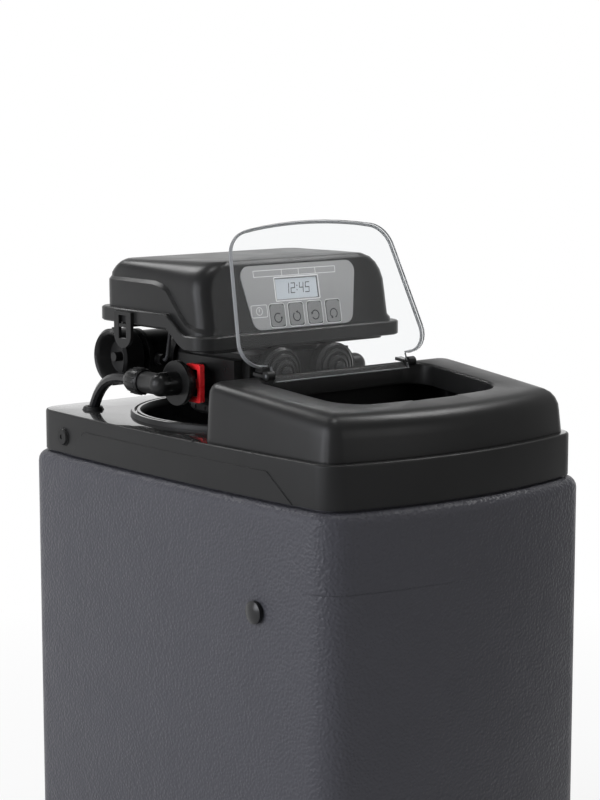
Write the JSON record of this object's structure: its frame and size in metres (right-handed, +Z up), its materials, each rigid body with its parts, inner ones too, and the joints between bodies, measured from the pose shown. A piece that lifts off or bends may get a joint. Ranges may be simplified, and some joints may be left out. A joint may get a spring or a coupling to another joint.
{
  "type": "water softener",
  "caption": "Compact cabinet water softener: salt cabinet with a two-part top, clear hinged salt lid and an electronic control head on its resin tank.",
  "frame": {"origin": "centre of the cabinet's base, on the floor", "axes": "+Z up, -Y is the front with the salt lid, +X is the right seen from the front"},
  "size_m": [0.3138, 0.426, 0.6074],
  "materials": {
    "cabinet_plastic": "fine satin texture",
    "cover_plastic": "polished",
    "collar_plastic": "satin",
    "head_plastic": "satin",
    "valve_plastic": "moulded",
    "clear_lid": "clear smoked acrylic",
    "tank_shell": "glass fibre wound",
    "white_plastic": "moulded",
    "red_clip": "glossy",
    "black_tube": "smooth",
    "rubber": "moulded",
    "cable_grey": "smooth",
    "ceramic": "lapped",
    "panel_grey": "printed membrane",
    "key_grey": "embossed",
    "lcd_glass": "display glass",
    "board_green": "solder mask",
    "motor_steel": "plated"
  },
  "bodies": {
    "root": {"cabinet": "cabinet_plastic", "side_plug": "rubber", "overflow_elbow": "valve_plastic", "overflow_nut": "valve_plastic", "top_cover": "cover_plastic", "screw_caps": "cover_plastic", "salt_collar": "collar_plastic", "hinge_ears": "cover_plastic", "resin_tank": "tank_shell", "tank_boot": "valve_plastic", "riser_tube": "white_plastic", "bottom_strainer": "white_plastic", "top_strainer": "white_plastic", "brine_well": "white_plastic", "well_cap": "valve_plastic", "safety_valve": "white_plastic", "float_stop": "white_plastic", "brine_tube": "black_tube", "tube_grommet": "rubber", "valve_flange": "valve_plastic", "valve_body": "valve_plastic", "front_caps": "valve_plastic", "fixed_disc": "ceramic", "brine_elbow": "valve_plastic", "elbow_nut": "valve_plastic", "brine_clip": "red_clip", "drain_elbow": "valve_plastic", "drain_clip": "red_clip", "bypass_body": "valve_plastic", "port_nuts": "valve_plastic", "flow_meter": "valve_plastic", "meter_cable": "cable_grey", "head_base": "head_plastic", "drive_motor": "motor_steel", "control_board": "board_green", "display_module": "lcd_glass", "display_panel": "panel_grey", "head_cover": "head_plastic", "latch_clips": "head_plastic", "power_socket": "rubber"},
    "lid": {"salt_lid": "clear_lid"},
    "float_body": {"float": "white_plastic"},
    "bypass": {"bypass_knob": "valve_plastic", "bypass_spool": "white_plastic"},
    "valve_drive": {"drive_gear": "white_plastic", "gear_shaft": "white_plastic", "moving_disc": "ceramic"},
    "pinion_body": {"pinion": "white_plastic"},
    "key_body_1": {"key_1": "key_grey"},
    "key_body_2": {"key_2": "key_grey"},
    "key_body_3": {"key_3": "key_grey"},
    "key_body_4": {"key_4": "key_grey"}
  },
  "joints": [
    {"name": "lid_hinge", "type": "hinge", "parent": "root", "child": "lid", "pos_m": [0, -0.048, 0.48844], "axis": [1, 0, 0], "range_deg": [0, 115.01]},
    {"name": "float_rise", "type": "slide", "parent": "root", "child": "float_body", "axis": [0, 0, 1], "range_m": [0, 0.03]},
    {"name": "bypass_turn", "type": "hinge", "parent": "root", "child": "bypass", "pos_m": [0, 0.15, 0.486], "axis": [1, 0, 0], "range_deg": [0, 90]},
    {"name": "valve_turn", "type": "hinge", "parent": "root", "child": "valve_drive", "pos_m": [0, 0.058, 0.53], "axis": [0, 0, 1], "continuous": true},
    {"name": "pinion_turn", "type": "hinge", "parent": "root", "child": "pinion_body", "pos_m": [0.03804, 0.08992, 0.53], "axis": [0, 0, 1], "continuous": true},
    {"name": "key_press_1", "type": "slide", "parent": "root", "child": "key_body_1", "axis": [0, 0.9816, -0.1908], "range_m": [0, 0.0004], "stiffness_N_per_m": 400},
    {"name": "key_press_2", "type": "slide", "parent": "root", "child": "key_body_2", "axis": [0, 0.9816, -0.1908], "range_m": [0, 0.0004], "stiffness_N_per_m": 400},
    {"name": "key_press_3", "type": "slide", "parent": "root", "child": "key_body_3", "axis": [0, 0.9816, -0.1908], "range_m": [0, 0.0004], "stiffness_N_per_m": 400},
    {"name": "key_press_4", "type": "slide", "parent": "root", "child": "key_body_4", "axis": [0, 0.9816, -0.1908], "range_m": [0, 0.0004], "stiffness_N_per_m": 400}
  ],
  "couplings": [
    {"joint": "pinion_turn", "follows": "valve_turn", "ratio": -4}
  ]
}
